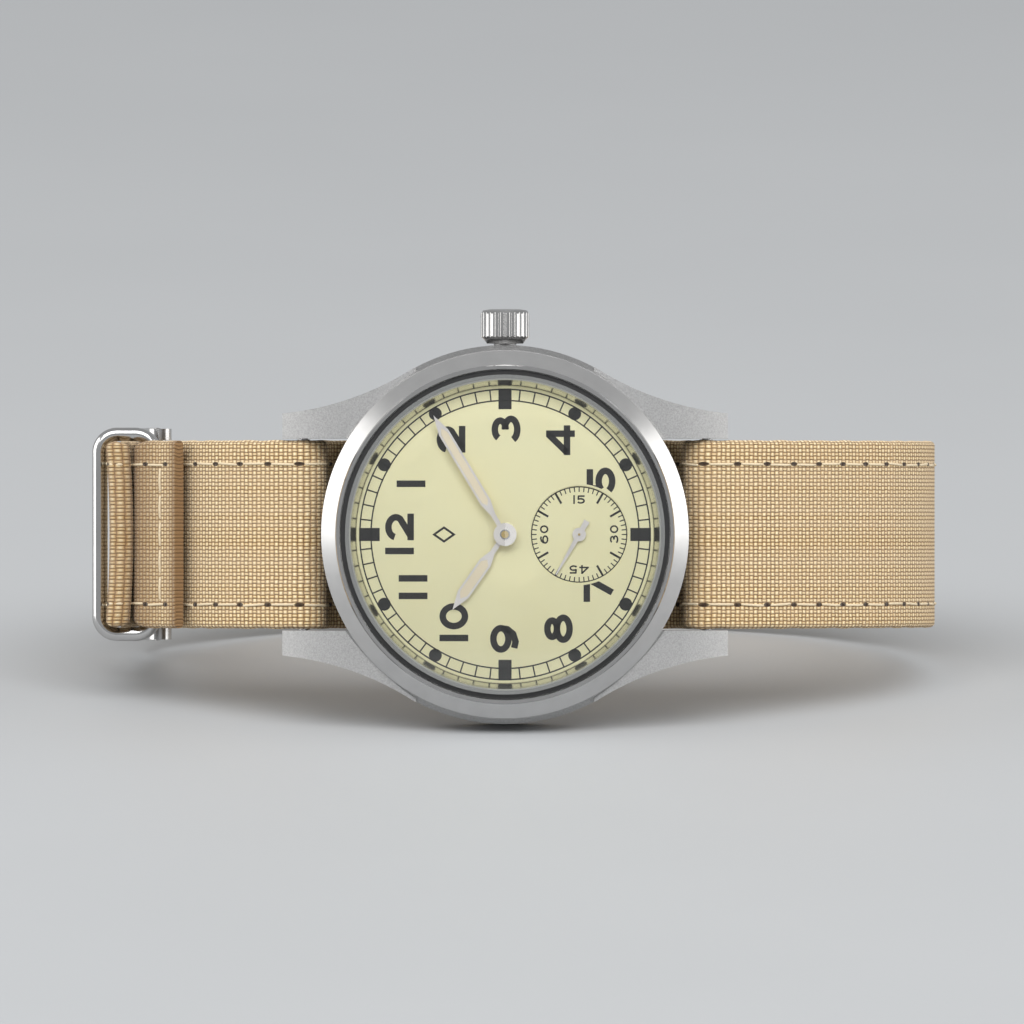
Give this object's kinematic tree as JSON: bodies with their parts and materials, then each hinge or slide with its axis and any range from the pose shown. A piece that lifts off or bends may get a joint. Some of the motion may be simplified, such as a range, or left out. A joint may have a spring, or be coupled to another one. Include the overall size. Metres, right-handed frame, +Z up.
{
  "type": "wristwatch",
  "caption": "Round field wristwatch with a domed crystal, small seconds and a fluted crown, on a one-piece canvas strap buckled in a loop, standing on its side.",
  "frame": {"origin": "on the ground, under the centre of the watch's bounding box", "axes": "+Z up, from 9 o'clock towards the crown at 3 o'clock, leaning back 10.0 degrees; the dial faces -Y and a little up; 12 o'clock is towards -X"},
  "size_m": [0.0816, 0.0628, 0.0398],
  "materials": {
    "case_steel": "satin stainless steel",
    "bezel_steel": "satin stainless steel, polished lip",
    "crystal": "clear domed crystal",
    "rubber": "black rubber",
    "polished_ring": "polished steel",
    "crown_steel": "polished steel",
    "dial_paint": "cream lacquer with black printing",
    "hand_steel": "brushed steel",
    "lume": "cream luminous paint",
    "plate_brass": "rhodium-plated brass",
    "wheel_brass": "gilt brass",
    "movement_steel": "hardened steel",
    "ring_plastic": "white acetal",
    "ruby": "synthetic ruby",
    "blued_spring": "blued spring steel",
    "canvas": "sand cotton canvas, coarse weave",
    "polished_wire": "polished steel wire"
  },
  "bodies": {
    "watch": {"balance_bridge": "plate_brass", "barrel_bridge": "plate_brass", "bezel": "bezel_steel", "bridge_screws": "movement_steel", "buckle_bar": "polished_wire", "buckle_frame": "polished_wire", "case_back": "case_steel", "case_back_gasket": "rubber", "case_middle": "case_steel", "click_spring": "movement_steel", "crown_tube": "case_steel", "crown_wheel_core": "movement_steel", "crystal": "crystal", "crystal_gasket": "rubber", "dial": "dial_paint", "dial_ring": "polished_ring", "jewels": "ruby", "keepers": "polished_wire", "mainplate": "plate_brass", "movement_ring": "ring_plastic", "pallet_bridge": "plate_brass", "pallet_screws": "movement_steel", "spring_bar_springs": "movement_steel", "spring_bar_tubes": "case_steel", "strap": "canvas", "train_bridge": "plate_brass"},
    "crown_drive": {"winding_pinion": "movement_steel"},
    "crown_stem": {"crown": "crown_steel", "crown_gasket": "rubber", "winding_stem": "movement_steel"},
    "sliding_pinion": {"sliding_pinion": "movement_steel"},
    "setting_lever": {"setting_lever": "movement_steel"},
    "yoke": {"yoke": "movement_steel"},
    "crown_wheel": {"crown_wheel": "movement_steel"},
    "ratchet": {"ratchet_wheel": "movement_steel", "barrel_arbor": "movement_steel"},
    "click": {"click": "movement_steel"},
    "seconds": {"fourth_wheel": "wheel_brass", "seconds_hand": "hand_steel"},
    "minutes": {"centre_wheel": "wheel_brass", "cannon_pinion": "movement_steel", "minute_hand": "hand_steel", "minute_hand_lume": "lume"},
    "hours": {"hour_wheel": "wheel_brass", "hour_hand": "hand_steel", "hour_hand_lume": "lume"},
    "minute_wheel": {"minute_wheel": "wheel_brass"},
    "third_wheel": {"third_wheel": "wheel_brass"},
    "escape_wheel": {"escape_wheel": "movement_steel"},
    "barrel": {"barrel": "wheel_brass", "mainspring": "blued_spring"},
    "pallet_fork": {"pallet_fork": "movement_steel"},
    "balance": {"balance_wheel": "wheel_brass", "balance_staff": "movement_steel", "hairspring": "blued_spring"},
    "pin_twelve_upper": {"bar_pin_twelve_upper": "movement_steel"},
    "pin_twelve_lower": {"bar_pin_twelve_lower": "movement_steel"},
    "pin_six_upper": {"bar_pin_six_upper": "movement_steel"},
    "pin_six_lower": {"bar_pin_six_lower": "movement_steel"},
    "tongue": {"buckle_tongue": "polished_wire"}
  },
  "joints": [
    {"name": "seconds_turn", "type": "hinge", "parent": "watch", "child": "seconds", "pos_m": [0.00626, -0.02634, 0.01878], "axis": [0, 0.9847, -0.1741], "continuous": true},
    {"name": "minutes_turn", "type": "hinge", "parent": "watch", "child": "minutes", "pos_m": [-0.00084, -0.02634, 0.01878], "axis": [0, 0.9847, -0.1741], "continuous": true},
    {"name": "hours_turn", "type": "hinge", "parent": "watch", "child": "hours", "pos_m": [-0.00084, -0.02634, 0.01878], "axis": [0, 0.9847, -0.1741], "continuous": true},
    {"name": "minute_wheel_turn", "type": "hinge", "parent": "watch", "child": "minute_wheel", "pos_m": [-0.00231, -0.0259, 0.02124], "axis": [0, 0.9847, -0.1741], "continuous": true},
    {"name": "third_wheel_turn", "type": "hinge", "parent": "watch", "child": "third_wheel", "pos_m": [0.00336, -0.02578, 0.02193], "axis": [0, 0.9847, -0.1741], "continuous": true},
    {"name": "escape_wheel_turn", "type": "hinge", "parent": "watch", "child": "escape_wheel", "pos_m": [0.00758, -0.02694, 0.01533], "axis": [0, 0.9847, -0.1741], "continuous": true},
    {"name": "barrel_turn", "type": "hinge", "parent": "watch", "child": "barrel", "pos_m": [-0.00702, -0.02613, 0.01996], "axis": [0, 0.9847, -0.1741], "continuous": true},
    {"name": "pallet_swing", "type": "hinge", "parent": "watch", "child": "pallet_fork", "pos_m": [0.00521, -0.02724, 0.01369], "axis": [0, 0.9847, -0.1741], "range_deg": [-5, 5]},
    {"name": "balance_swing", "type": "hinge", "parent": "watch", "child": "balance", "pos_m": [0.00176, -0.02766, 0.01129], "axis": [0, 0.9847, -0.1741], "range_deg": [-140, 140], "stiffness_Nm_per_rad": 0.0000008},
    {"name": "crown_turn", "type": "hinge", "parent": "watch", "child": "crown_drive", "pos_m": [-0.00084, -0.02378, 0.01833], "axis": [0, 0.1741, 0.9847], "continuous": true},
    {"name": "crown_pull", "type": "slide", "parent": "crown_drive", "child": "crown_stem", "axis": [0, 0.1741, 0.9847], "range_m": [0, 0.001]},
    {"name": "sliding_pinion_shift", "type": "slide", "parent": "crown_drive", "child": "sliding_pinion", "axis": [0, 0.1741, 0.9847], "range_m": [-0.0004, 0]},
    {"name": "setting_lever_swing", "type": "hinge", "parent": "watch", "child": "setting_lever", "pos_m": [0.00286, -0.02457, 0.02877], "axis": [0, 0.9847, -0.1741], "range_deg": [0, 16]},
    {"name": "yoke_swing", "type": "hinge", "parent": "watch", "child": "yoke", "pos_m": [0.00316, -0.02529, 0.02469], "axis": [0, 0.9847, -0.1741], "range_deg": [-6, 0]},
    {"name": "crown_wheel_turn", "type": "hinge", "parent": "watch", "child": "crown_wheel", "pos_m": [-0.00184, -0.02547, 0.0237], "axis": [0, 0.9847, -0.1741], "continuous": true},
    {"name": "ratchet_turn", "type": "hinge", "parent": "watch", "child": "ratchet", "pos_m": [-0.00702, -0.02613, 0.01996], "axis": [0, 0.9847, -0.1741], "continuous": true},
    {"name": "click_lift", "type": "hinge", "parent": "watch", "child": "click", "pos_m": [-0.01173, -0.0267, 0.01671], "axis": [0, 0.9847, -0.1741], "range_deg": [-4, 0], "stiffness_Nm_per_rad": 0.000005},
    {"name": "bar_pin_twelve_upper_slide", "type": "slide", "parent": "watch", "child": "pin_twelve_upper", "axis": [0, -0.1741, -0.9847], "range_m": [0, 0.001], "stiffness_N_per_m": 300, "springref_m": -0.001},
    {"name": "bar_pin_twelve_lower_slide", "type": "slide", "parent": "watch", "child": "pin_twelve_lower", "axis": [0, 0.1741, 0.9847], "range_m": [0, 0.001], "stiffness_N_per_m": 300, "springref_m": -0.001},
    {"name": "bar_pin_six_upper_slide", "type": "slide", "parent": "watch", "child": "pin_six_upper", "axis": [0, -0.1741, -0.9847], "range_m": [0, 0.001], "stiffness_N_per_m": 300, "springref_m": -0.001},
    {"name": "bar_pin_six_lower_slide", "type": "slide", "parent": "watch", "child": "pin_six_lower", "axis": [0, 0.1741, 0.9847], "range_m": [0, 0.001], "stiffness_N_per_m": 300, "springref_m": -0.001},
    {"name": "tongue_lift", "type": "hinge", "parent": "watch", "child": "tongue", "pos_m": [-0.03449, 0.00616, 0.01303], "axis": [0, 0.1741, 0.9847], "range_deg": [0, 5]}
  ],
  "couplings": [
    {"joint": "minutes_turn", "follows": "seconds_turn", "ratio": 0.016667},
    {"joint": "hours_turn", "follows": "seconds_turn", "ratio": 0.0013889},
    {"joint": "minute_wheel_turn", "follows": "seconds_turn", "ratio": -0.0055556},
    {"joint": "third_wheel_turn", "follows": "seconds_turn", "ratio": -0.13333},
    {"joint": "escape_wheel_turn", "follows": "seconds_turn", "ratio": -10},
    {"joint": "barrel_turn", "follows": "seconds_turn", "ratio": -0.0027778},
    {"joint": "sliding_pinion_shift", "follows": "crown_pull", "ratio": -0.4},
    {"joint": "setting_lever_swing", "follows": "crown_pull", "rad_per_m": 268.78},
    {"joint": "yoke_swing", "follows": "crown_pull", "rad_per_m": -100.01},
    {"joint": "crown_wheel_turn", "follows": "crown_turn", "ratio": -0.5},
    {"joint": "ratchet_turn", "follows": "crown_turn", "ratio": 0.33333}
  ]
}
